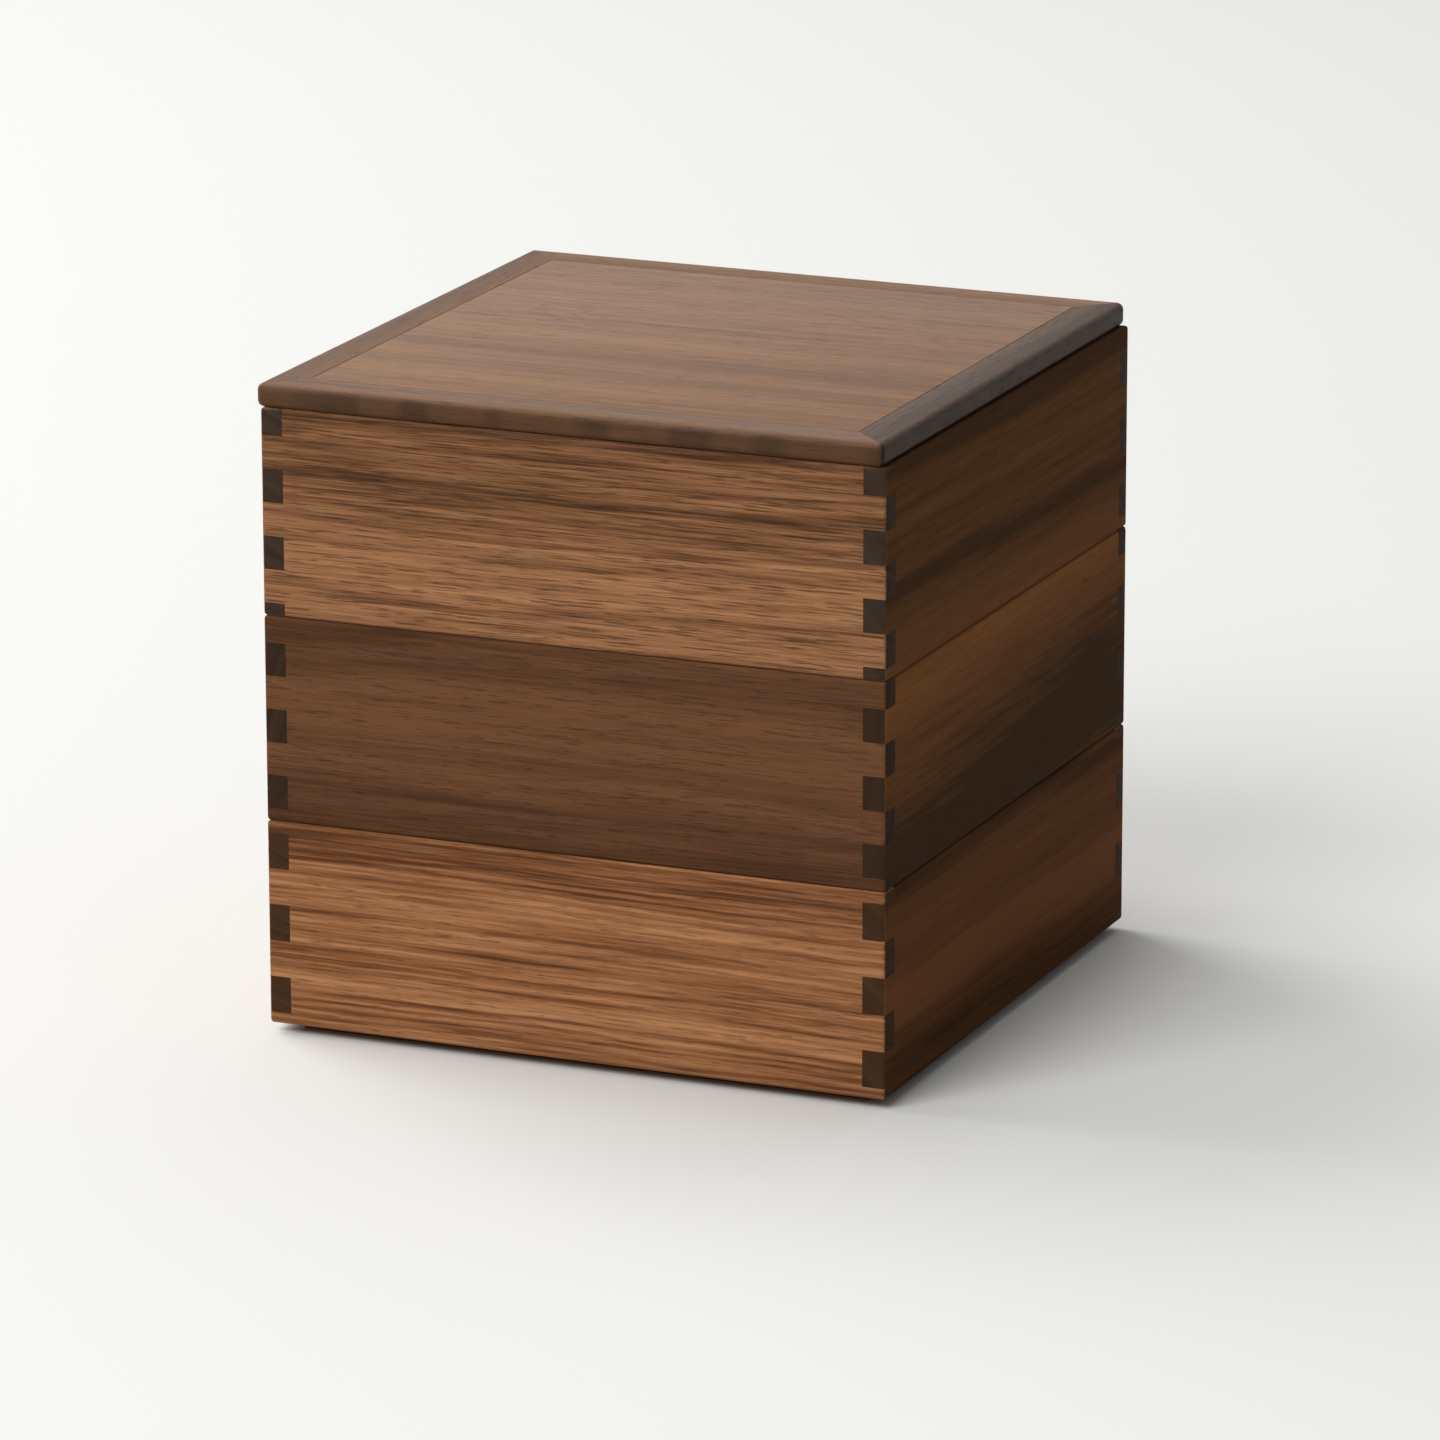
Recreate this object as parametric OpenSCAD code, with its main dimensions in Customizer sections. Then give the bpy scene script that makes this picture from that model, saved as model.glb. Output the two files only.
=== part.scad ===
// Square stacking food box: three finger-jointed walnut tiers under a flat framed lid.
// Millimetres, Z up. The origin is on the surface that the box stands on, below the middle
// of the box, and the front is towards -Y.

/* [Box] */
// Outside width and depth of the square box
side = 195; // [150:1:260]
// Height of the walls of each tier
tier_h = 62; // [45:1:90]
// Thickness of the wall boards
wall = 7; // [5:0.5:10]
// Rounding of the upright outer corners
corner_r = 1.2; // [0.4:0.1:2.4]
// Rounding of the outer edges at the top and bottom of the walls
rim_r = 1.2; // [0.4:0.1:2.4]
// Easing of the inner edge of each rim
inner_r = 0.5; // [0.2:0.1:1]

/* [Finger joints] */
// Height of a whole finger in the middle and top tiers
upper_finger = 10; // [7:0.5:14]
// Height of the uppermost finger in the middle and top tiers
upper_first = 8; // [4:0.5:12]
// Height of a whole finger in the bottom tier
lower_finger = 11; // [7:0.5:14]
// Height of the uppermost finger in the bottom tier
lower_first = 3.5; // [3:0.5:12]
// Thickness of a glue line
glue = 0.05; // [0.02:0.01:0.2]

/* [Base panels] */
// Height of the pocket under the walls that takes a base panel
pocket_h = 3; // [2:0.5:5]
// How far the pocket reaches outwards under the walls
pocket_w = 3.5; // [2:0.5:4.5]
// How far a base panel stands out below the walls
step_h = 3; // [2:0.5:5]
// Play on each side between a base panel's step and the walls of the tier beneath
step_play = 0.5; // [0.2:0.1:1.5]
// Rounding of the step's edges
step_r = 0.8; // [0.3:0.1:0.9]

/* [Lid] */
// Thickness of the lid's frame
lid_t = 7; // [5:0.5:12]
// How far the lid stands out past the walls on each side
lid_over = 0; // [-1:0.1:3]
// Width of the four mitred rails
rail_w = 12; // [10:0.5:20]
// Rounding of the lid's top and bottom outer edges
lid_r = 2; // [0.5:0.1:2.4]
// Rounding of the lid's upright corners
lid_corner_r = 2; // [0.5:0.1:5]
// How far the panel's underside lies above the rails' underside
panel_recess = 1; // [0.5:0.5:2]
// Open seam between the panel and each rail
panel_seam = 0.1; // [0.05:0.05:0.4]
// Thickness of the panel's tongue
tongue_t = 2; // [1:0.5:2.5]
// Length of the panel's tongue
tongue_l = 5; // [2:0.5:7]
// Room beyond the tongue's end for the panel to swell
tongue_room = 0.5; // [0.3:0.1:1]

/* [Lid battens] */
// Width of the battens under the lid
batten_w = 6; // [4:0.5:12]
// Height of the battens under the lid
batten_h = 3; // [2:0.5:6]
// Play on each side between the battens and the walls of the top tier
lid_play = 1.5; // [0.5:0.1:2.5]
// Where the lid lies in its play, from -1 against the left wall to 1 against the right
lid_lie = -0.85; // [-1:0.05:1]

/* [Hidden] */
$fn = 48;

// What a cutter reaches past the wood
past = 1;

// Turn about Z that brings a piece made for the front to each side
to_front = 0;
to_right = 90;
to_back = 180;
to_left = -90;

// Widths of the hollow inside the walls, of the pocket under them and of the lid
inside = side - 2 * wall;
pocket = inside + 2 * pocket_w;
lid_side = side + 2 * lid_over;
lid_inside = lid_side - 2 * rail_w;
batten_side = inside - 2 * lid_play;

// Height of the walls' bottom edge in each tier, and of the lid's underside
bottom_z = step_h;
middle_z = bottom_z + tier_h;
top_z = middle_z + tier_h;
lid_z = top_z + tier_h;
lid_x = lid_lie * lid_play;

// Thickness of the lid's panel, and height of its tongue's lower face above the rails' underside
panel_t = lid_t - panel_recess;
tongue_z = panel_recess + (panel_t - tongue_t) / 2;

amber_walnut = [0.56, 0.36, 0.21];
grey_walnut = [0.38, 0.28, 0.20];
brown_walnut = [0.48, 0.33, 0.23];
lid_walnut = [0.53, 0.41, 0.33];
rail_walnut = [0.33, 0.25, 0.20];
plain_walnut = [0.45, 0.33, 0.25];

// Rectangle about the origin with round corners
module round_rectangle(width, height, r) {
    square([width, height - 2 * r], center = true);
    square([width - 2 * r, height], center = true);
    for (x = [-1, 1], y = [-1, 1])
        translate([x * (width / 2 - r), y * (height / 2 - r)]) circle(r);
}

// Square block standing on z = 0, with round upright corners and round level edges
module round_block(width, height, upright_r, level_r) {
    intersection() {
        linear_extrude(height) round_rectangle(width, width, upright_r);
        for_both_ways()
            translate([0, width / 2 + past, height / 2])
                rotate([90, 0, 0])
                    linear_extrude(width + 2 * past) round_rectangle(width, height, level_r);
    }
}

// What is common to a shape and the same shape turned by a quarter turn
module for_both_ways() {
    intersection() {
        children();
        rotate([0, 0, 90]) children();
    }
}

// Square plate about the Z axis
module plate(width, height) {
    translate([-width / 2, -width / 2, 0]) cube([width, width, height]);
}

// Number of fingers down one corner, and the height of the lower end of finger i,
// counted from the rim
function finger_count(first, whole) = 1 + ceil((tier_h - first) / whole - 0.01);
function finger_end(i, first, whole) =
    i >= finger_count(first, whole) - 1 ? -past : tier_h - first - i * whole;
function finger_start(i, first, whole) =
    i == 0 ? tier_h + past : finger_end(i - 1, first, whole);

// Slots at both ends of a front board that take the other board's fingers,
// from finger number start_at and then every second one
module finger_slots(first, whole, start_at) {
    depth = wall + glue;
    for (i = [start_at : 2 : finger_count(first, whole) - 1], end = [-1, 1]) {
        low = finger_end(i, first, whole) - glue / 2;
        high = finger_start(i, first, whole) + glue / 2;
        translate([end * (side / 2 + (past - depth) / 2), -side / 2 + wall / 2, (low + high) / 2])
            cube([depth + past, wall + 2 * past, high - low], center = true);
    }
}

// What the easing takes off the inner edge of a front board's rim
module rim_easing() {
    translate([-inside / 2, -side / 2 + wall - inner_r, tier_h - inner_r])
        rotate([90, 0, 90])
            linear_extrude(inside)
                difference() {
                    square(inner_r + past);
                    circle(inner_r);
                }
}

// One wall board of a tier. A leading board has the uppermost finger at both its ends.
module wall_board(first, whole, leads, turn) {
    rotate([0, 0, turn])
        difference() {
            intersection() {
                round_block(side, tier_h, corner_r, rim_r);
                translate([-side / 2, -side / 2, 0]) cube([side, wall, tier_h]);
            }
            finger_slots(first, whole, leads ? 1 : 0);
            rim_easing();
            translate([0, 0, -past]) plate(pocket, pocket_h + past);
        }
}

// Stepped base panel: the wide part is glued into the pocket under the walls, and the step
// below it nests in the tier beneath, or stands on the table
module base_panel() {
    plate(pocket - 2 * glue, pocket_h - glue);
    translate([0, 0, -step_h])
        intersection() {
            round_block(inside - 2 * step_play, 2 * step_h, step_r, step_r);
            plate(side, step_h);
        }
}

// One mitred rail of the lid, with the groove for the panel's tongue
module lid_rail(turn) {
    seam = glue / sqrt(2);
    outer = lid_side / 2;
    inner = lid_inside / 2;
    groove_w = tongue_l + tongue_room;
    rotate([0, 0, turn])
        difference() {
            intersection() {
                round_block(lid_side, lid_t, lid_corner_r, lid_r);
                linear_extrude(lid_t)
                    polygon([
                        [-outer + seam, -outer], [outer - seam, -outer],
                        [inner - seam, -inner], [-inner + seam, -inner],
                    ]);
            }
            translate([-outer, -inner - groove_w, tongue_z - glue])
                cube([lid_side, groove_w + past, tongue_t + 2 * glue]);
        }
}

// One batten glued under the lid. Long battens run the whole way across, short ones between.
module lid_batten(long, turn) {
    length = long ? batten_side : batten_side - 2 * (batten_w + glue);
    rotate([0, 0, turn])
        translate([-length / 2, -batten_side / 2, -batten_h])
            cube([length, batten_w, batten_h - glue]);
}

module in_bottom_tier() translate([0, 0, bottom_z]) children();
module in_middle_tier() translate([0, 0, middle_z]) children();
module in_top_tier() translate([0, 0, top_z]) children();
module on_lid() translate([lid_x, 0, lid_z]) children();

module bottom_front_board()
    color(amber_walnut) in_bottom_tier() wall_board(lower_first, lower_finger, true, to_front);
module bottom_back_board()
    color(amber_walnut) in_bottom_tier() wall_board(lower_first, lower_finger, true, to_back);
module bottom_left_board()
    color(amber_walnut) in_bottom_tier() wall_board(lower_first, lower_finger, false, to_left);
module bottom_right_board()
    color(amber_walnut) in_bottom_tier() wall_board(lower_first, lower_finger, false, to_right);
module bottom_base_panel() color(plain_walnut) in_bottom_tier() base_panel();

module middle_front_board()
    color(grey_walnut) in_middle_tier() wall_board(upper_first, upper_finger, true, to_front);
module middle_back_board()
    color(grey_walnut) in_middle_tier() wall_board(upper_first, upper_finger, true, to_back);
module middle_left_board()
    color(grey_walnut) in_middle_tier() wall_board(upper_first, upper_finger, false, to_left);
module middle_right_board()
    color(grey_walnut) in_middle_tier() wall_board(upper_first, upper_finger, false, to_right);
module middle_base_panel() color(plain_walnut) in_middle_tier() base_panel();

module top_front_board()
    color(brown_walnut) in_top_tier() wall_board(upper_first, upper_finger, false, to_front);
module top_back_board()
    color(brown_walnut) in_top_tier() wall_board(upper_first, upper_finger, false, to_back);
module top_left_board()
    color(brown_walnut) in_top_tier() wall_board(upper_first, upper_finger, true, to_left);
module top_right_board()
    color(brown_walnut) in_top_tier() wall_board(upper_first, upper_finger, true, to_right);
module top_base_panel() color(plain_walnut) in_top_tier() base_panel();

module lid_front_rail() color(rail_walnut) on_lid() lid_rail(to_front);
module lid_back_rail() color(rail_walnut) on_lid() lid_rail(to_back);
module lid_left_rail() color(rail_walnut) on_lid() lid_rail(to_left);
module lid_right_rail() color(rail_walnut) on_lid() lid_rail(to_right);

// Centre panel of the lid, flush with the rails on top, with a tongue all round
module lid_panel()
    color(lid_walnut) on_lid() {
        translate([0, 0, panel_recess]) plate(lid_inside - 2 * panel_seam, panel_t);
        translate([0, 0, tongue_z]) plate(lid_inside + 2 * tongue_l, tongue_t);
    }

module lid_front_batten() color(plain_walnut) on_lid() lid_batten(true, to_front);
module lid_back_batten() color(plain_walnut) on_lid() lid_batten(true, to_back);
module lid_left_batten() color(plain_walnut) on_lid() lid_batten(false, to_left);
module lid_right_batten() color(plain_walnut) on_lid() lid_batten(false, to_right);

bottom_front_board();
bottom_back_board();
bottom_left_board();
bottom_right_board();
bottom_base_panel();
middle_front_board();
middle_back_board();
middle_left_board();
middle_right_board();
middle_base_panel();
top_front_board();
top_back_board();
top_left_board();
top_right_board();
top_base_panel();
lid_front_rail();
lid_back_rail();
lid_left_rail();
lid_right_rail();
lid_panel();
lid_front_batten();
lid_back_batten();
lid_left_batten();
lid_right_batten();
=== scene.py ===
import bpy
import numpy as np
from mathutils import Matrix, Vector


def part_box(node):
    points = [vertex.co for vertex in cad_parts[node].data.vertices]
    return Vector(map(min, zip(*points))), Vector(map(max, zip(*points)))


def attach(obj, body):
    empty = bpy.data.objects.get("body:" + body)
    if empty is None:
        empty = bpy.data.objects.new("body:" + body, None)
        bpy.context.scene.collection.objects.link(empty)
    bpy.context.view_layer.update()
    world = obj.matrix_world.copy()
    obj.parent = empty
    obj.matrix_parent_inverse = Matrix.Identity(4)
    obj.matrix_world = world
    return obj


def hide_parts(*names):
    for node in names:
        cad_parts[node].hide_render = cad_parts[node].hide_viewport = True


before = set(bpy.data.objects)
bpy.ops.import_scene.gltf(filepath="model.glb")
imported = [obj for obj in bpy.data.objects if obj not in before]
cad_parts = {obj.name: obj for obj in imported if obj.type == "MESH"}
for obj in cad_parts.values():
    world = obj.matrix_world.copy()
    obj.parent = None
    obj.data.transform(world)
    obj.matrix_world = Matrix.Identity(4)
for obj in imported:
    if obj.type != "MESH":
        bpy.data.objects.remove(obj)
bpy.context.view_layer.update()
print("frame loaded:", len(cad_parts), "nodes")

millimetre = 0.001      # in Blender's unit, the metre

# Sizes shared by the tiers, the same as the frame's
box = {
    "side": 195.0,          # outside width and depth
    "tierHeight": 62.0,
    "stand": 3.0,           # how far the lowest walls stand off the floor
    "wall": 7.0,
    "cornerRound": 1.2,     # upright outer corners
    "rimRound": 1.2,        # outer edges at the rim and the foot of the walls
    "innerRound": 0.5,      # inner edge of the rim
    "pocketHeight": 3.0,    # under the walls, for the base panel
    "pocketReach": 3.5,
    "pocketLip": 0.2,       # width of the pocket's sloping ends
    "pocketStep": 0.1,      # cell of the grid in which the pocket's level roof is made
    "glue": 0.05,
    "leastFinger": 0.5,     # a shorter finger isn't cut
    "edgeSteps": 6,         # steps in an outer round-over, and in an inner one
    "innerSteps": 3,
    "innerLines": 9,        # lines of the grid between the two corners
    "lineDigits": 4,        # grid lines that agree to this many digits are one line
}


# Distances from an edge to the lines of a round-over: radius * (1 - cos a), a from 0 to a quarter turn.
def arcSteps(radius, count):
    return radius * (1 - np.cos(np.linspace(0, np.pi / 2, count + 1)))


# How far a round-over falls back at a distance from the edge: r - sqrt(r^2 - (r - distance)^2).
def roundDepth(distance, radius):
    inner = np.clip(radius - distance, 0, radius)
    return radius - np.sqrt(radius ** 2 - inner ** 2)


# Mesh object from points in millimetres, turned about Z by quarter turns: (x, y) -> (-y, x).
def meshPiece(name, vertices, faces, quarterTurns=0, sharpDegrees=32):
    points = np.array(vertices, dtype=float)
    for _ in range(quarterTurns % 4):
        points = np.column_stack([-points[:, 1], points[:, 0], points[:, 2]])
    mesh = bpy.data.meshes.new(name)
    mesh.from_pydata((points * millimetre).tolist(), [], faces)
    mesh.shade_smooth()
    mesh.set_sharp_from_angle(angle=np.radians(sharpDegrees))
    mesh.validate()
    piece = bpy.data.objects.new(name, mesh)
    bpy.context.scene.collection.objects.link(piece)
    return piece


# Walls of the tiers from the floor up. `leads` says that the front and back boards have the top finger.
tiers = {
    "bottom": {"number": 0, "firstFinger": 3.5, "finger": 11.0, "leads": True},
    "middle": {"number": 1, "firstFinger": 8.0, "finger": 10.0, "leads": True},
    "top": {"number": 2, "firstFinger": 8.0, "finger": 10.0, "leads": False},
}
sides = {"front": 0, "right": 1, "back": 2, "left": 3}


# Height of a tier's walls, or of the lid, above the floor: stand + number * tierHeight.
def footOf(number):
    return box["stand"] + number * box["tierHeight"]


# Heights of the finger ends from the rim down: tierHeight - first - i * finger, while above the foot.
def fingerLines(tier):
    lines = np.arange(box["tierHeight"] - tier["firstFinger"], box["leastFinger"], -tier["finger"])
    return np.append(lines, 0.0)


# Grid lines of a board along its length: corners' round-overs, pocket's ends, fingers' roots.
def boardColumns(root, pocketHalf):
    half = box["side"] / 2
    corner = half - arcSteps(box["cornerRound"], box["edgeSteps"])
    rightLines = np.concatenate([[root, pocketHalf, pocketHalf + box["pocketLip"]], corner])
    inner = np.linspace(-root, root, box["innerLines"])
    return np.unique(np.round(np.concatenate([-rightLines, inner, rightLines]), box["lineDigits"]))


# Grid lines of a board up its height: rim's and foot's round-overs, pocket's roof, fingers' glue lines.
def boardRows(ends):
    height = box["tierHeight"]
    rim = arcSteps(box["rimRound"], box["edgeSteps"])
    cuts = np.concatenate([ends - box["glue"] / 2, ends + box["glue"] / 2])
    easing = height - arcSteps(box["innerRound"], box["innerSteps"])
    pocket = [box["pocketHeight"], box["pocketHeight"] + box["pocketStep"]]
    return np.unique(np.round(np.concatenate([rim, height - rim, cuts, easing, pocket]), box["lineDigits"]))


# Cells of a board's grid that hold wood: all between the roots, and every second finger past them.
# A cell's finger number is how many finger ends lie above its middle.
def woodCells(columns, rows, ends, root, leads):
    rowMiddles = (rows[:-1] + rows[1:]) / 2
    columnMiddles = (columns[:-1] + columns[1:]) / 2
    number = (ends[:, None] > rowMiddles[None, :]).sum(axis=0)
    atGlue = (np.abs(ends[:, None] - rowMiddles[None, :]) < box["glue"] / 2).any(axis=0)
    theirs = (number % 2 == (1 if leads else 0)) | atGlue
    return ~((np.abs(columnMiddles)[:, None] > root) & theirs[None, :])


# Faces of two sheets over one grid, joined by a wall on each cell edge whose neighbour is missing.
def sheetFaces(present):
    columns, rows = present.shape
    count = (columns + 1) * (rows + 1)
    index = np.arange(count).reshape(columns + 1, rows + 1)
    lowLeft, lowRight = index[:-1, :-1], index[1:, :-1]
    highLeft, highRight = index[:-1, 1:], index[1:, 1:]
    quads = [np.stack([lowLeft, lowRight, highRight, highLeft], axis=-1)[present],
             np.stack([lowLeft, highLeft, highRight, lowRight], axis=-1)[present] + count]
    padded = np.pad(present, 1)
    for neighbour, start, stop in ((padded[1:-1, :-2], lowLeft, lowRight),
                                   (padded[1:-1, 2:], highRight, highLeft),
                                   (padded[:-2, 1:-1], highLeft, lowLeft),
                                   (padded[2:, 1:-1], lowRight, highRight)):
        edge = present & ~neighbour
        first, last = start[edge], stop[edge]
        quads.append(np.column_stack([last, first, first + count, last + count]))
    return np.concatenate(quads)


# Board of a tier. Outer sheet: y = -side/2 + max(roundDepth(rim), roundDepth(corner)).
# Inner sheet: y = -side/2 + wall, eased at the rim and set back in the pocket.
# The board's ends follow the rim's round-over too: x shrinks by the rim's depth over the finger's length.
def wallBoard(name, tier, leads, quarterTurns):
    height, wall, half = box["tierHeight"], box["wall"], box["side"] / 2
    root = half - wall - box["glue"]
    pocketHalf = half - wall + box["pocketReach"]
    pocketTop = box["pocketHeight"]
    slack = box["glue"] / 5         # room for the rounding of the grid lines
    ends = fingerLines(tier)[:-1]
    columns, rows = boardColumns(root, pocketHalf), boardRows(ends)
    xGrid, zGrid = np.meshgrid(columns, rows, indexing="ij")

    rimDepth = roundDepth(np.minimum(height - zGrid, zGrid), box["rimRound"])
    cornerDepth = roundDepth(half - np.abs(xGrid), box["cornerRound"])
    reach = np.clip((np.abs(xGrid) - root) / (half - root), 0, 1)
    xShrunk = xGrid - np.sign(xGrid) * reach * rimDepth
    outer = np.stack([xShrunk, -half + np.maximum(rimDepth, cornerDepth), zGrid], axis=-1)

    easingDepth = roundDepth(height - zGrid, box["innerRound"])
    inPocket = (zGrid <= pocketTop + slack) & (np.abs(xGrid) <= pocketHalf + slack)
    yInner = -half + wall - easingDepth * (np.abs(xGrid) < root + slack)
    yInner = np.where(inPocket, -pocketHalf, yInner)
    zInner = np.where(np.isclose(zGrid, pocketTop + box["pocketStep"]), pocketTop, zGrid)
    innerSheet = np.stack([xShrunk, yInner, zInner], axis=-1)

    faces = sheetFaces(woodCells(columns, rows, ends, root, leads))
    vertices = np.concatenate([outer.reshape(-1, 3), innerSheet.reshape(-1, 3)])
    vertices[:, 2] += footOf(tier["number"])
    used, packed = np.unique(faces, return_inverse=True)
    return meshPiece(name, vertices[used], packed.reshape(faces.shape).tolist(), quarterTurns)


# The lid's frame, panel and battens
lid = {
    "thickness": 7.0,
    "railWidth": 12.0,
    "edgeRound": 2.0,       # top and bottom outer edges
    "cornerRound": 2.0,     # upright corners
    "play": 1.5,            # between the battens and the walls on each side
    "lieShare": -0.85,      # share of the play by which the lid lies to the right; to the left if negative
    "tongueLow": 3.0,       # underside of the panel's tongue
    "tongueThick": 2.0,
    "tongueLength": 5.0,
    "tongueRoom": 0.5,
    "panelLow": 1.0,        # underside of the panel
    "panelEase": 0.25,      # softened edge of the panel's top and of the rails beside it
    "seam": 0.1,
    "battenRound": 0.8,     # lower edges of the battens
    "edgeSteps": 7,         # steps in the rail's round-over, corner, easing, and the batten's round-over
    "cornerSteps": 4,
    "easeSteps": 2,
    "battenSteps": 5,
    "leastRound": 0.02,     # radius of the path's corner inside the round-over
}
lidFoot = footOf(len(tiers))
lidLie = lid["lieShare"] * lid["play"]


# Angles of a turn from 0 to a quarter, or to a share of it, in radians.
def turnSteps(count, share=1.0):
    return np.linspace(0, share * np.pi / 2, count + 1)


# Rail's section as (distance inwards, height): two round-overs outside, the groove inside.
def railProfile():
    edge, width, thickness, ease = lid["edgeRound"], lid["railWidth"], lid["thickness"], lid["panelEase"]
    turn = turnSteps(lid["edgeSteps"])
    small = turnSteps(lid["easeSteps"])
    foot = np.column_stack([edge - edge * np.sin(turn), edge - edge * np.cos(turn)])
    top = np.column_stack([edge - edge * np.cos(turn), thickness - edge + edge * np.sin(turn)])
    inside = np.column_stack([width - ease + ease * np.sin(small), thickness - ease + ease * np.cos(small)])
    low, deep = lid["tongueLow"] - box["glue"], width - lid["tongueLength"] - lid["tongueRoom"]
    high = lid["tongueLow"] + lid["tongueThick"] + box["glue"]
    groove = np.array([[width, high], [deep, high], [deep, low], [width, low], [width, 0.0]])
    return np.concatenate([foot, top, inside, groove])


# Rail: the section carried along a square path offset inwards by c, from one mitre to the other.
# The path is straight to the corner's centre and then turns an eighth with radius max(round - c, least).
def lidRail(name, quarterTurns):
    half = box["side"] / 2
    seam = box["glue"] / 2
    inwards, heights = railProfile().T
    radius = np.maximum(lid["cornerRound"] - inwards, lid["leastRound"])
    centre = half - inwards - radius
    turn = turnSteps(lid["cornerSteps"], 0.5)[:, None]
    along = centre + radius * np.sin(turn) - seam
    fall = radius * (1 - np.cos(turn))
    x = np.concatenate([-along[::-1], along])
    y = -half + inwards + np.concatenate([fall[::-1], fall])
    vertices = np.stack([x, y, np.broadcast_to(heights, x.shape)], axis=-1).reshape(-1, 3)
    index = np.arange(x.size).reshape(x.shape)
    after = np.roll(index, -1, axis=1)
    quads = np.stack([index[:-1], index[1:], after[1:], after[:-1]], axis=-1).reshape(-1, 4)
    faces = quads.tolist() + [index[0].tolist(), index[-1][::-1].tolist()]
    piece = meshPiece(name, vertices + [0, 0, lidFoot], faces, quarterTurns)
    piece.data.transform(Matrix.Translation((lidLie * millimetre, 0, 0)))
    return piece


# Closed plate: a section of (outset, height) pairs carried round a rectangle, capped top and bottom.
# A ring's corner is centre + (+-(halfX + outset), +-(halfY + outset)).
def rectangleLoft(name, section, halfSizes, centre, foot):
    signs = np.array([[-1, -1], [1, -1], [1, 1], [-1, 1]], dtype=float)
    ring = (np.array(halfSizes) + section[:, None, 0:1]) * signs[None, :, :] + np.array(centre)
    heights = np.broadcast_to(section[:, None, 1:2], ring.shape[:2] + (1,))
    vertices = np.concatenate([ring, heights], axis=-1).reshape(-1, 3)
    index = np.arange(len(vertices)).reshape(-1, 4)
    after = np.roll(index, -1, axis=1)
    quads = np.stack([index[:-1], after[:-1], after[1:], index[1:]], axis=-1).reshape(-1, 4)
    faces = quads.tolist() + [index[0][::-1].tolist(), index[-1].tolist()]
    return meshPiece(name, vertices + [0, 0, foot], faces)


# Panel's section from its underside up: edge, tongue, edge, and an eased top edge.
def lidPanel(name):
    half = box["side"] / 2 - lid["railWidth"] - lid["seam"]
    tongue = lid["seam"] + lid["tongueLength"]
    low, high = lid["tongueLow"], lid["tongueLow"] + lid["tongueThick"]
    ease = lid["panelEase"]
    small = turnSteps(lid["easeSteps"])
    edge = [[0, lid["panelLow"]], [0, low], [tongue, low], [tongue, high], [0, high]]
    eased = np.column_stack([ease * np.cos(small) - ease, lid["thickness"] - ease + ease * np.sin(small)])
    return rectangleLoft(name, np.concatenate([edge, eased]), (half, half), (lidLie, 0), lidFoot)


# Batten with eased edges in the box of its node: the section is a quarter round at its foot.
def easedBatten(name, node):
    low, high = (np.array(corner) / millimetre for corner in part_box(node))
    turn = turnSteps(lid["battenSteps"])
    edge = lid["battenRound"]
    foot = np.column_stack([edge * np.sin(turn) - edge, edge - edge * np.cos(turn)])
    section = np.concatenate([foot, [[0, high[2] - low[2]]]])
    return rectangleLoft(name, section, (high[:2] - low[:2]) / 2, (high[:2] + low[:2]) / 2, low[2])


# Shorthand for building a material: add(kind, settings, inputs) makes a node and links its inputs.
# An input is given by name, or by number as i0, i1 and so on.
def nodeAdder(tree):
    def add(kind, settings=None, **inputs):
        node = tree.nodes.new(kind)
        for key, value in (settings or {}).items():
            setattr(node, key, value)
        for key, value in inputs.items():
            socket = node.inputs[int(key[1:])] if key[0] == "i" and key[1:].isdigit() else node.inputs[key]
            if isinstance(value, bpy.types.NodeSocket):
                tree.links.new(value, socket)
            else:
                socket.default_value = value
        return node
    return add


# Number worked out from up to three others.
def mathOf(add, operation, first, second=0.0, third=0.0):
    return add("ShaderNodeMath", {"operation": operation}, i0=first, i1=second, i2=third).outputs[0]


# Number carried from one range to another and held inside it.
def ranged(add, value, start, stop, low=0.0, high=1.0, curve="LINEAR"):
    limits = {"From Min": start, "From Max": stop, "To Min": low, "To Max": high}
    settings = {"clamp": True, "interpolation_type": curve}
    return add("ShaderNodeMapRange", settings, Value=value, **limits).outputs[0]


# Two colours mixed, or multiplied, by a share of the second.
def mixed(add, share, first, second, blend="MIX"):
    settings = {"data_type": "RGBA", "blend_type": blend}
    return add("ShaderNodeMix", settings, i0=share, i6=first, i7=second).outputs[2]


# Grey of a number's own brightness.
def greyOf(add, value):
    return add("ShaderNodeCombineColor", i0=value, i1=value, i2=value).outputs[0]


# Empty material and the shorthand that fills it.
def emptyMaterial(name):
    material = bpy.data.materials.new(name)
    material.use_nodes = True
    material.node_tree.nodes.clear()
    return material, nodeAdder(material.node_tree)


# Linear colour with alpha from paint values of 0 to 255: v = value / 255, ((v + 0.055) / 1.055) ^ 2.4,
# or v / 12.92 where it is nearly black.
def linear(red, green, blue):
    values = np.array([red, green, blue]) / 255
    curve = np.where(values <= 0.04045, values / 12.92, ((values + 0.055) / 1.055) ** 2.4)
    return tuple(curve) + (1.0,)


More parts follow.
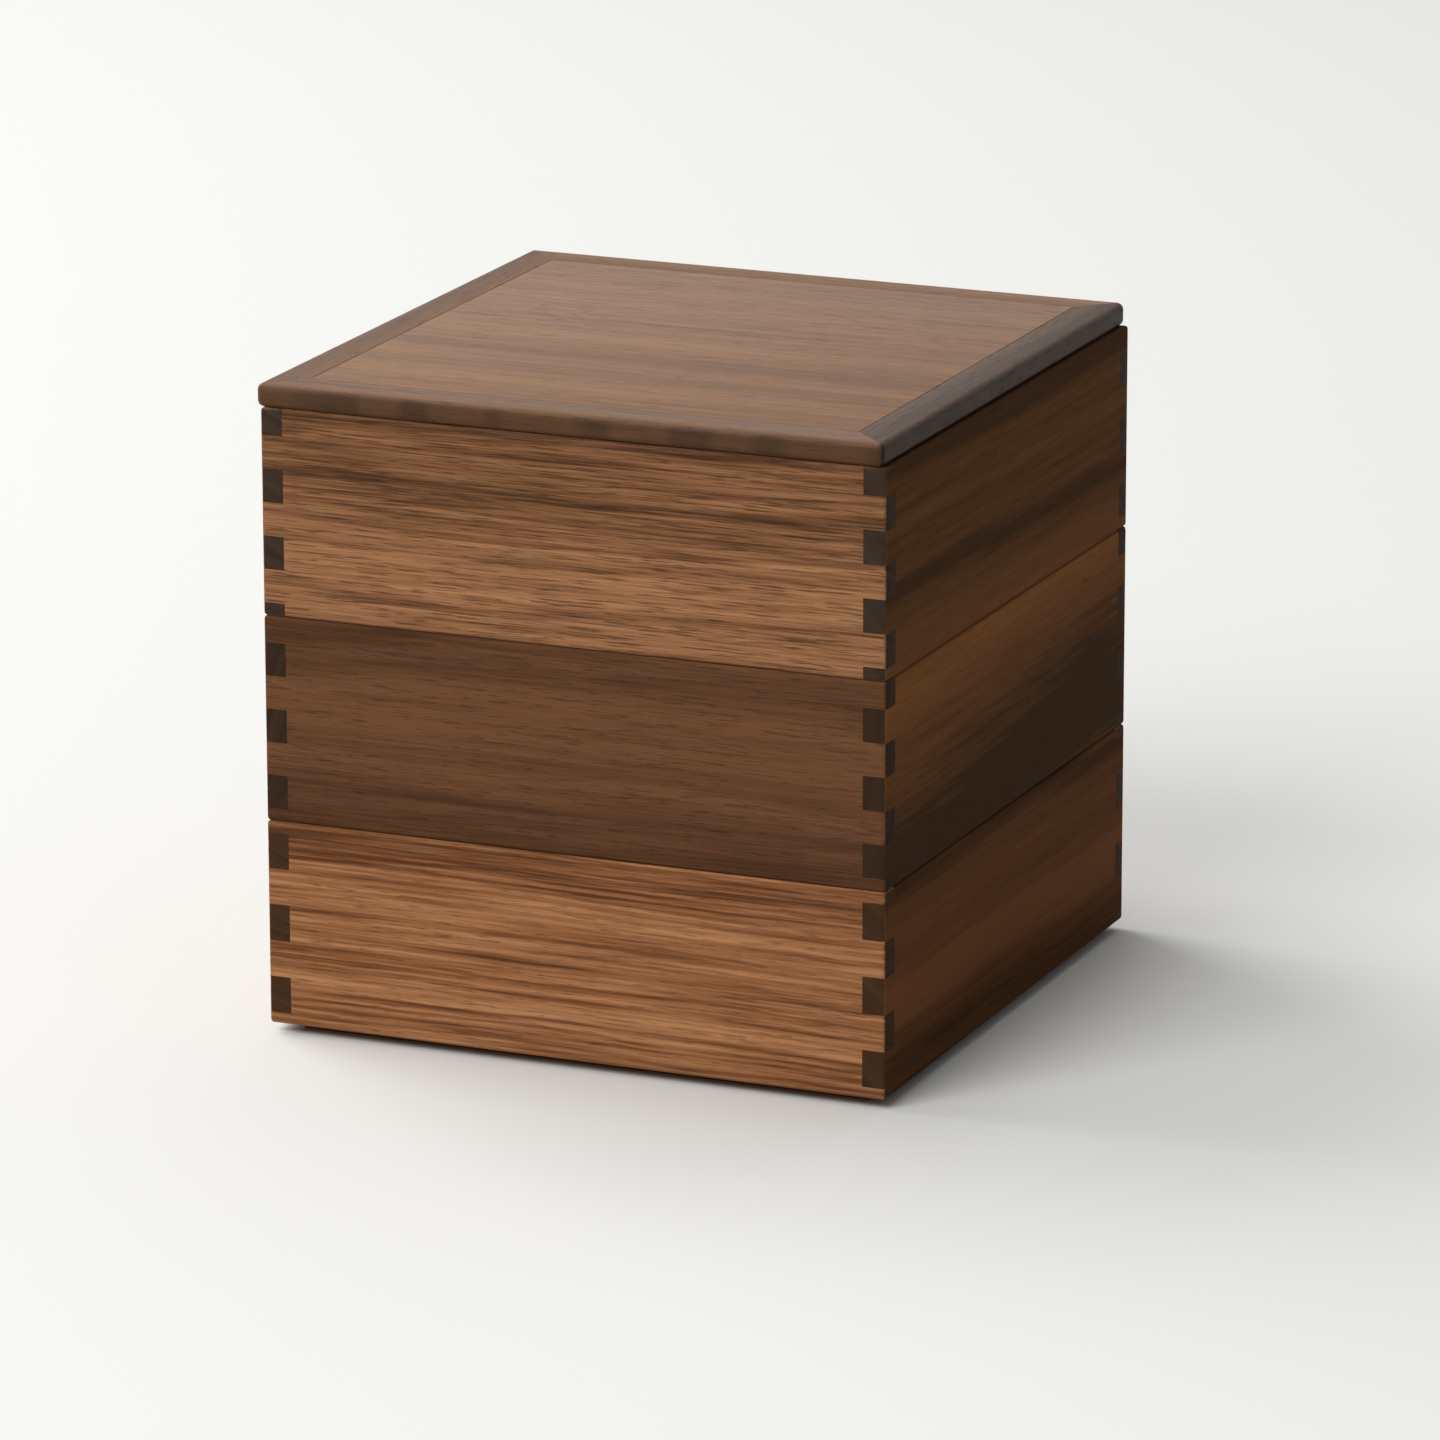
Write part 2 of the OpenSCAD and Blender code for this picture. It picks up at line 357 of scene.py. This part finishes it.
# How the walnut's figure is worked out. Scales of noise are per millimetre, along and across the grain.
figure = {
    "seedStep": 173.0,      # millimetres of the log between two seeds
    "slow": {"along": 0.007, "across": 0.02, "detail": 1.0, "shift": 5.3},
    "quick": {"along": 0.035, "across": 0.16, "detail": 2.0, "shift": 11.7},
    "hair": {"along": 0.03, "across": 1.9, "detail": 2.0},
    "strand": {"along": 0.016, "detail": 2.0},
    "pore": {"detail": 1.5, "shift": 31.0, "roughness": 0.6},
    "broad": {"detail": 1.0, "seedShift": 3.1},
    "narrow": {"detail": 2.0, "seedShift": 7.7},
    "hairShift": 1.3,       # shift of the hairs and strands per seed
    "strandShift": 2.9,
    "bandRoughness": 0.5,
    "middleStop": 0.38,     # where the middle colour stands between dark and light
    "shadeWander": 14.0,    # millimetres by which the edge of a zone set by a look's shade wanders
    "poreByRing": 0.10,     # how much more the pores open in the pale part of a ring
    "poreEdge": 0.07,
    "endFrom": 0.6,         # how far a face turns square to the grain before it is end grain
    "endTo": 0.9,
    "dotScale": 1.6,        # end grain's round pores: how many per millimetre, and from where they fade
    "dotFrom": 0.10,
    "dotTo": 0.26,
    "endRings": 0.55,
    "endBright": 1.35,
    "patchScale": 0.045,    # patches in the painted shade of upright faces
    "patchFrom": 0.38,
    "patchTo": 0.52,
    "levelFrom": 0.45,      # how far a face turns level before it loses the painted shade of upright faces
    "levelTo": 0.90,
    "roughByHair": 0.12,
    "roughByPore": 0.15,
    "reliefByHair": 0.35,
    "reliefStrength": 0.30,
    "reliefDepth": 0.00012,
}


# Where a point lies in the log, in millimetres: along the grain, into the board and up it.
# In a flat board, depth and height change places. endFacing and upFacing say how a face is turned.
def placeInLog(add, look, grainAxis):
    source = add("ShaderNodeTexCoord")
    point = add("ShaderNodeSeparateXYZ", i0=source.outputs["Object"]).outputs
    facing = add("ShaderNodeSeparateXYZ", i0=source.outputs["Normal"]).outputs
    alongAxis, depthAxis = (0, 1) if grainAxis == "x" else (1, 0)
    shift = look["seed"] * figure["seedStep"]
    depth = mathOf(add, "MULTIPLY", point[depthAxis], 1 / millimetre)
    height = mathOf(add, "MULTIPLY", point[2], 1 / millimetre)
    if look["flat"]:
        depth, height = height, depth
    return {
        "along": mathOf(add, "MULTIPLY_ADD", point[alongAxis], 1 / millimetre, shift),
        "depth": depth,
        "height": height,
        "endFacing": mathOf(add, "ABSOLUTE", facing[alongAxis]),
        "upFacing": mathOf(add, "ABSOLUTE", facing[2]),
    }


# Noise drawn out along the grain.
def streaks(add, place, along, across, detail, shift=0.0, roughness=0.55):
    vector = add("ShaderNodeCombineXYZ",
                 i0=mathOf(add, "MULTIPLY_ADD", place["along"], along, shift),
                 i1=mathOf(add, "MULTIPLY", place["depth"], across),
                 i2=mathOf(add, "MULTIPLY", place["height"], across)).outputs[0]
    return add("ShaderNodeTexNoise", {"noise_dimensions": "3D"}, Vector=vector, Scale=1.0,
               Detail=detail, Roughness=roughness).outputs["Fac"]


# Distance from the log's heart line, sqrt(depth^2 + height^2), made wavy by a slow and a quick noise.
def ringDistance(add, look, place, slow):
    quick = streaks(add, place, **figure["quick"])
    heartDepth, heartHeight = look["heart"]
    inward = mathOf(add, "SUBTRACT", place["depth"], heartDepth)
    upward = mathOf(add, "SUBTRACT", place["height"], heartHeight)
    squares = mathOf(add, "MULTIPLY_ADD", inward, inward, mathOf(add, "MULTIPLY", upward, upward))
    waved = mathOf(add, "MULTIPLY_ADD", slow, look["wave"], mathOf(add, "SQRT", squares))
    waved = mathOf(add, "MULTIPLY_ADD", quick, look["ripple"], waved)
    return mathOf(add, "MULTIPLY_ADD", place["along"], look["slope"], waved)


# Growth bands, broad or narrow: noise over the ring distance alone.
def bands(add, look, distance, kind):
    level = mathOf(add, "MULTIPLY_ADD", distance, look[kind], look["seed"] * figure[kind]["seedShift"])
    return add("ShaderNodeTexNoise", {"noise_dimensions": "1D"}, W=level, Scale=1.0,
               Detail=figure[kind]["detail"], Roughness=figure["bandRoughness"]).outputs["Fac"]


# What a darker or lighter zone by height adds to the figure: from atLow at the height low to atHigh at the
# height high. It carries painted shade under the lid and on the right boards.
def edgeShade(add, shade, place, slow):
    sloped = mathOf(add, "MULTIPLY_ADD", place["along"], shade["slope"], place["height"])
    level = mathOf(add, "MULTIPLY_ADD", slow, figure["shadeWander"], sloped)
    middle = figure["shadeWander"] / 2
    return ranged(add, level, shade["low"] + middle, shade["high"] + middle,
                  shade["atLow"], shade["atHigh"], "SMOOTHSTEP")


# Colour of the long grain before its pores: shares of the noises, carried onto dark, middle and light.
def grainColour(add, look, place, slow, noises):
    total = mathOf(add, "MULTIPLY", noises["broad"], look["broadShare"])
    for key in ("narrow", "strand", "hair"):
        total = mathOf(add, "MULTIPLY_ADD", noises[key], look[key + "Share"], total)
    if "shade" in look:
        total = mathOf(add, "ADD", total, edgeShade(add, look["shade"], place, slow))
    middle = sum(look[key + "Share"] for key in noises) / 2
    tone = ranged(add, total, middle - look["spread"], middle + look["spread"])
    node = add("ShaderNodeValToRGB", i0=tone)
    ramp = node.color_ramp
    ramp.elements.new(figure["middleStop"])
    stops = ((0.0, "dark"), (figure["middleStop"], "middle"), (1.0, "light"))
    for element, (position, key) in zip(ramp.elements, stops):
        element.position = position
        element.color = linear(*look[key])
    return node.outputs[0]


# End grain: a dark ground with round pores and rings.
def endColour(add, look, place, narrow):
    spot = add("ShaderNodeCombineXYZ", i0=place["depth"], i1=place["height"]).outputs[0]
    dots = add("ShaderNodeTexVoronoi", {"feature": "F1"}, Vector=spot, Scale=figure["dotScale"])
    outside = ranged(add, dots.outputs["Distance"], figure["dotFrom"], figure["dotTo"])
    tone = mixed(add, outside, linear(*look["endPore"]), linear(*look["end"]))
    ringed = mixed(add, figure["endRings"], tone, greyOf(add, narrow), "MULTIPLY")
    return mixed(add, 1.0, ringed, (figure["endBright"],) * 3 + (1.0,), "MULTIPLY")


# Painted shade: upright faces are darkened against the lit top, by a factor that wanders in soft patches
# along the grain.
def uprightTone(add, look, place):
    patch = add("ShaderNodeTexNoise", {"noise_dimensions": "1D"}, W=place["along"],
                Scale=figure["patchScale"], Detail=1.0).outputs["Fac"]
    upright = ranged(add, patch, figure["patchFrom"], figure["patchTo"], *look["upright"])
    return greyOf(add, ranged(add, place["upFacing"], figure["levelFrom"], figure["levelTo"], upright, 1.0))


# Solid walnut: bands and streaks of long grain with short dark pores, end grain on faces square to it.
def walnut(name, ownLook, grainAxis="x"):
    look = {**usualLook, **ownLook}
    material, add = emptyMaterial(name)
    place = placeInLog(add, look, grainAxis)
    seed = look["seed"]
    slow = streaks(add, place, **figure["slow"])
    distance = ringDistance(add, look, place, slow)
    narrow = bands(add, look, distance, "narrow")
    hair = streaks(add, place, shift=seed * figure["hairShift"], **figure["hair"])
    noises = {
        "broad": bands(add, look, distance, "broad"),
        "narrow": narrow,
        "strand": streaks(add, place, across=look["strandAcross"], shift=seed * figure["strandShift"],
                          **figure["strand"]),
        "hair": hair,
    }
    pore = streaks(add, place, look["poreAlong"], look["poreAcross"], **figure["pore"])
    pore = mathOf(add, "MULTIPLY_ADD", narrow, figure["poreByRing"], pore)
    pore = ranged(add, pore, look["poreStart"], look["poreStart"] + figure["poreEdge"])

    longGrain = mixed(add, mathOf(add, "MULTIPLY", pore, look["poreDepth"]),
                      grainColour(add, look, place, slow, noises), linear(*look["pore"]))
    squareShare = ranged(add, place["endFacing"], figure["endFrom"], figure["endTo"])
    colour = mixed(add, squareShare, longGrain, endColour(add, look, place, narrow))
    # painted shade on upright faces
    if "upright" in look:
        colour = mixed(add, 1.0, colour, uprightTone(add, look, place), "MULTIPLY")

    rough = mathOf(add, "MULTIPLY_ADD", hair, figure["roughByHair"], look["roughness"])
    rough = mathOf(add, "MULTIPLY_ADD", pore, figure["roughByPore"], rough)
    relief = mathOf(add, "MULTIPLY_ADD", pore, -1.0, mathOf(add, "MULTIPLY", hair, figure["reliefByHair"]))
    bump = add("ShaderNodeBump", Height=relief, Strength=figure["reliefStrength"],
               Distance=figure["reliefDepth"]).outputs[0]
    finish = {"Base Color": colour, "Roughness": rough, "Normal": bump,
              "Specular IOR Level": look["specular"]}
    shader = add("ShaderNodeBsdfPrincipled", **finish)
    add("ShaderNodeOutputMaterial", i0=shader.outputs[0])
    return material


# What a board's look is unless its own settings say otherwise. The shares say how much of the figure
# the broad and narrow bands, strands and hairs make; wave and ripple are in millimetres.
usualLook = {
    "wave": 26.0, "ripple": 1.6, "slope": 0.0, "broad": 0.075, "narrow": 0.42, "strandAcross": 0.42,
    "poreAlong": 0.13, "poreAcross": 2.6, "poreStart": 0.635, "poreDepth": 0.55,
    "roughness": 0.46, "specular": 0.012, "flat": False,
}
# Colours of each kind of board: the dark, middle and light of its bands, its pores and its end grain
topLook = {
    "dark": (88, 60, 42), "middle": (136, 96, 67), "light": (182, 133, 95), "pore": (60, 41, 29),
    "end": (66, 54, 46), "endPore": (42, 34, 28), "heart": (-240.0, -150.0), "seed": 1.0,
    "wave": 12.0, "ripple": 1.0, "slope": -0.012, "broad": 0.055, "narrow": 0.35,
    "broadShare": 0.50, "narrowShare": 0.28, "strandShare": 0.30, "hairShare": 0.42, "spread": 0.17,
    "poreDepth": 0.60, "poreStart": 0.61, "poreAlong": 0.09, "poreAcross": 2.6,
    # darker towards the top: painted shadow of the lid, over partly darker wood
    "shade": {"low": 166.0, "high": 182.0, "atLow": 0.02, "atHigh": -0.10, "slope": -0.02},
}
middleLook = {
    "dark": (66, 45, 32), "middle": (91, 62, 43), "light": (120, 83, 58), "pore": (54, 37, 27),
    "end": (62, 47, 36), "endPore": (38, 29, 23), "heart": (-260.0, 170.0), "seed": 2.0,
    "wave": 9.0, "ripple": 1.0, "slope": 0.006, "broad": 0.05, "narrow": 0.30,
    "broadShare": 0.55, "narrowShare": 0.28, "strandShare": 0.30, "hairShare": 0.26, "spread": 0.18,
    "poreDepth": 0.45,
}
bottomLook = {
    "dark": (98, 63, 41), "middle": (150, 101, 67), "light": (196, 142, 101), "pore": (86, 55, 36),
    "end": (74, 54, 39), "endPore": (44, 33, 25), "heart": (-200.0, -260.0), "seed": 3.0,
    "wave": 8.0, "ripple": 2.2, "slope": 0.010, "broad": 0.07, "narrow": 0.55,
    "broadShare": 0.40, "narrowShare": 0.42, "strandShare": 0.46, "hairShare": 0.26, "spread": 0.17,
    "strandAcross": 0.5, "poreDepth": 0.45,
}
# The right boards of each tier have broad bands, closed pores and almost no gloss
rightLook = {
    "narrow": 0.16, "broad": 0.040, "wave": 7.0, "slope": 0.01, "poreDepth": 0.18, "specular": 0.004,
    "broadShare": 0.80, "narrowShare": 0.30, "strandShare": 0.16, "hairShare": 0.08, "spread": 0.15,
}
# Painted shade: the right boards' colours are set for the box's shaded right side as it is lit here (darker
# than the front's on the top and bottom tiers, lighter on the middle tier), each with a darker zone by
# height
rightShadeColours = {
    "top": {"dark": (78, 54, 36), "middle": (108, 74, 47), "light": (132, 90, 55),
            "shade": {"low": 140.0, "high": 182.0, "atLow": 0.08, "atHigh": -0.10, "slope": 0.0}},
    "middle": {"dark": (74, 54, 38), "middle": (124, 84, 52), "light": (158, 107, 64),
               "shade": {"low": 86.0, "high": 108.0, "atLow": -0.03, "atHigh": 0.07, "slope": -0.05}},
    "bottom": {"dark": (68, 46, 31), "middle": (100, 67, 43), "light": (128, 85, 55),
               "shade": {"low": 10.0, "high": 58.0, "atLow": -0.09, "atHigh": 0.08, "slope": 0.0}},
}
lidLook = {
    "dark": (92, 63, 40), "middle": (113, 79, 51), "light": (136, 97, 64), "pore": (80, 56, 39),
    "end": (66, 50, 40), "endPore": (40, 31, 26), "heart": (220.0, -300.0), "seed": 4.0,
    "wave": 10.0, "ripple": 1.4, "broad": 0.05, "narrow": 0.40,
    "broadShare": 0.36, "narrowShare": 0.30, "strandShare": 0.40, "hairShare": 0.34, "spread": 0.19,
    "flat": True, "poreDepth": 0.5, "roughness": 0.42, "specular": 0.20,
}
railLook = {
    "dark": (84, 58, 38), "middle": (106, 73, 47), "light": (126, 88, 58), "pore": (62, 43, 31),
    "end": (62, 48, 39), "endPore": (38, 30, 25), "heart": (190.0, -340.0), "seed": 5.0,
    "wave": 10.0, "broad": 0.05, "narrow": 0.35,
    "broadShare": 0.55, "narrowShare": 0.28, "strandShare": 0.30, "hairShare": 0.24, "spread": 0.19,
    "flat": True, "poreDepth": 0.40, "roughness": 0.43, "specular": 0.18,
    # painted shade of the rails' upright faces: their colour times 0.42 to 0.64, in patches
    "upright": (0.42, 0.64),
}
railShadeColours = {         # the right rail is darker all over, which paints the shade on its shaded right face
    "right": {"dark": (46, 33, 25), "middle": (66, 47, 34), "light": (84, 60, 43), "specular": 0.12,
              "upright": (0.45, 0.60)},
}
plainLook = {
    "dark": (92, 64, 46), "middle": (120, 85, 61), "light": (146, 105, 76), "pore": (66, 46, 34),
    "end": (72, 55, 43), "endPore": (44, 34, 27), "heart": (210.0, -330.0), "seed": 6.0,
    "broadShare": 0.50, "narrowShare": 0.30, "strandShare": 0.30, "hairShare": 0.24, "spread": 0.27,
    "flat": True, "poreDepth": 0.45,
}
wallLooks = {"bottom": bottomLook, "middle": middleLook, "top": topLook}
seedSteps = {"board": 0.37, "rail": 0.61, "batten": 0.43}      # from one side's piece to the next

for tierName, tier in tiers.items():
    for sideName, quarterTurns in sides.items():
        isLong = sideName in ("front", "back")
        leads = tier["leads"] == isLong
        nodeName = f"{tierName}_{sideName}_board"
        board = wallBoard(nodeName + "_wood", tier, leads, quarterTurns)
        look = dict(wallLooks[tierName])
        # the right boards take the painted shade of the box's right side
        if sideName == "right":
            look.update(rightLook)
            look.update(rightShadeColours[tierName])
        look["seed"] += seedSteps["board"] * quarterTurns
        board.data.materials.append(walnut(f"{tierName} {sideName} walnut", look, "x" if isLong else "y"))
        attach(board, f"{tierName}_tier")
        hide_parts(nodeName)
    baseLook = dict(plainLook)
    baseLook["seed"] += len(tierName)
    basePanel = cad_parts[f"{tierName}_base_panel"]
    basePanel.data.materials.clear()
    basePanel.data.materials.append(walnut(f"{tierName} base walnut", baseLook, "x"))
print("tiers built")

for sideName, quarterTurns in sides.items():
    isLong = sideName in ("front", "back")
    rail = lidRail(f"lid_{sideName}_rail_wood", quarterTurns)
    look = dict(railLook)
    look["seed"] += seedSteps["rail"] * quarterTurns
    look.update(railShadeColours.get(sideName, {}))
    rail.data.materials.append(walnut(f"lid {sideName} rail walnut", look, "x" if isLong else "y"))
    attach(rail, "lid")
    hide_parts(f"lid_{sideName}_rail")
    batten = easedBatten(f"lid_{sideName}_batten_wood", f"lid_{sideName}_batten")
    battenLook = dict(plainLook)
    battenLook["seed"] += seedSteps["batten"] * quarterTurns
    batten.data.materials.append(walnut(f"lid {sideName} batten walnut", battenLook, "x" if isLong else "y"))
    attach(batten, "lid")
    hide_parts(f"lid_{sideName}_batten")
panel = lidPanel("lid_panel_wood")
panel.data.materials.append(walnut("lid panel walnut", lidLook, "x"))
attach(panel, "lid")
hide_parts("lid_panel")
print("lid built")


# The stage: a pale floor that reaches past the view. Its lengths and those of the lamps are in metres.
stage = {
    "floorReach": 9.0,
    "floorLines": 9,
    "floorColour": (0.80, 0.81, 0.80),
    "bounceColour": (0.50, 0.46, 0.41),     # what the floor throws back on the box
    "backColour": (0.93, 0.93, 0.915),
    "backShare": 0.12,          # how much of the floor's own pale colour the view sees
    "shareFrom": 0.095,         # none of it within this distance of the middle, all of it past shareTo; the loss paints shade on the floor around and under the box
    "shareTo": 0.15,
}


# 1 for camera, glossy and transmission rays, 0 for the rest.
def seenDirectly(add):
    path = add("ShaderNodeLightPath").outputs
    first = mathOf(add, "MAXIMUM", path["Is Camera Ray"], path["Is Glossy Ray"])
    return mathOf(add, "MAXIMUM", first, path["Is Transmission Ray"])


# Diffuse floor with a share of its pale colour where it is seen, less of it close to the box, which is
# painted shade:
# share = backShare * smoothstep(max(|x|, |y|)).
def floorMaterial():
    material, add = emptyMaterial("pale floor")
    point = add("ShaderNodeSeparateXYZ", i0=add("ShaderNodeTexCoord").outputs["Object"]).outputs
    away = mathOf(add, "MAXIMUM", mathOf(add, "ABSOLUTE", point[0]), mathOf(add, "ABSOLUTE", point[1]))
    share = ranged(add, away, stage["shareFrom"], stage["shareTo"], 0.0, stage["backShare"], "SMOOTHSTEP")
    pale = add("ShaderNodeBsdfDiffuse", Color=stage["floorColour"] + (1.0,)).outputs[0]
    own = add("ShaderNodeEmission", Color=stage["backColour"] + (1.0,), Strength=1.0).outputs[0]
    shown = add("ShaderNodeMixShader", i0=share, i1=pale, i2=own).outputs[0]
    bounce = add("ShaderNodeBsdfDiffuse", Color=stage["bounceColour"] + (1.0,)).outputs[0]
    both = add("ShaderNodeMixShader", i0=seenDirectly(add), i1=bounce, i2=shown).outputs[0]
    add("ShaderNodeOutputMaterial", i0=both)
    return material


# Square floor sheet over -reach to reach.
def paleFloor():
    lines = np.linspace(-stage["floorReach"], stage["floorReach"], stage["floorLines"])
    x, y = np.meshgrid(lines, lines, indexing="ij")
    vertices = np.stack([x, y, np.zeros_like(x)], axis=-1).reshape(-1, 3)
    index = np.arange(x.size).reshape(x.shape)
    quads = np.stack([index[:-1, :-1], index[1:, :-1], index[1:, 1:], index[:-1, 1:]], axis=-1)
    mesh = bpy.data.meshes.new("floor")
    mesh.from_pydata(vertices.tolist(), [], quads.reshape(-1, 4).tolist())
    mesh.materials.append(floorMaterial())
    floor = bpy.data.objects.new("floor", mesh)
    bpy.context.scene.collection.objects.link(floor)


# The lamps: where each hangs, its side, and its power in watts
lights = {
    "key": {"place": (-2.45, 0.65, 2.2), "size": 2.4, "power": 79.0, "colour": (1.0, 0.985, 0.96)},
    "front": {"place": (-0.7, -2.3, 2.3), "size": 1.8, "power": 68.0, "colour": (1.0, 0.985, 0.96)},
    "top": {"place": (-0.3, 1.7, 2.5), "size": 2.2, "power": 13.0, "colour": (1.0, 1.0, 1.0)},
}
roomLight = {"colour": (1.0, 0.98, 0.95), "strength": 0.24}
boxMiddle = Vector((0, 0, 0.1))


# Square area lamp that looks at the middle of the box.
def softLamp(name, values):
    lamp = bpy.data.lights.new(name, "AREA")
    lamp.shape = "SQUARE"
    lamp.size = values["size"]
    lamp.energy = values["power"]
    lamp.color = values["colour"]
    holder = bpy.data.objects.new(name, lamp)
    place = Vector(values["place"])
    holder.location = place
    holder.rotation_euler = (boxMiddle - place).to_track_quat("-Z", "Y").to_euler()
    bpy.context.scene.collection.objects.link(holder)


# World: the pale back colour where it is seen, and a weaker even light elsewhere.
def paleRoom():
    world = bpy.data.worlds.new("room")
    world.use_nodes = True
    world.node_tree.nodes.clear()
    add = nodeAdder(world.node_tree)
    even = add("ShaderNodeBackground", Color=roomLight["colour"] + (1.0,), Strength=roomLight["strength"])
    pale = add("ShaderNodeBackground", Color=stage["backColour"] + (1.0,), Strength=1.0)
    both = add("ShaderNodeMixShader", i0=seenDirectly(add), i1=even.outputs[0], i2=pale.outputs[0])
    add("ShaderNodeOutputWorld", i0=both.outputs[0])
    bpy.context.scene.world = world


paleFloor()
paleRoom()
for lampName, values in lights.items():
    softLamp(lampName, values)

# The camera: where it stands in millimetres, which way it looks in degrees, and its lens
camera = {
    "place": (975.0, -2289.0, 773.0),
    "azimuth": -22.96,
    "elevation": 15.55,
    "roll": -0.12,
    "lens": 216.9,
    "sensor": 36.0,
    "farEnd": 50.0,         # metres
}


# Axes from the angles: look = (sin a cos e, cos a cos e, -sin e), right = look x up, rolled.
def aimCamera():
    azimuth, elevation, roll = np.radians([camera["azimuth"], camera["elevation"], camera["roll"]])
    level = np.cos(elevation)
    look = Vector((np.sin(azimuth) * level, np.cos(azimuth) * level, -np.sin(elevation)))
    right = look.cross(Vector((0, 0, 1))).normalized()
    up = right.cross(look)
    rolledRight = right * np.cos(roll) + up * np.sin(roll)
    rolledUp = up * np.cos(roll) - right * np.sin(roll)
    data = bpy.data.cameras.new("camera")
    data.lens = camera["lens"]
    data.sensor_width = camera["sensor"]
    data.clip_end = camera["farEnd"]
    holder = bpy.data.objects.new("camera", data)
    turn = Matrix((rolledRight, rolledUp, -look)).transposed().to_4x4()
    holder.matrix_world = Matrix.Translation(Vector(camera["place"]) * millimetre) @ turn
    bpy.context.scene.collection.objects.link(holder)
    bpy.context.scene.camera = holder


aimCamera()
bpy.context.scene.view_settings.view_transform = "Standard"
print("stage, lights and camera set")
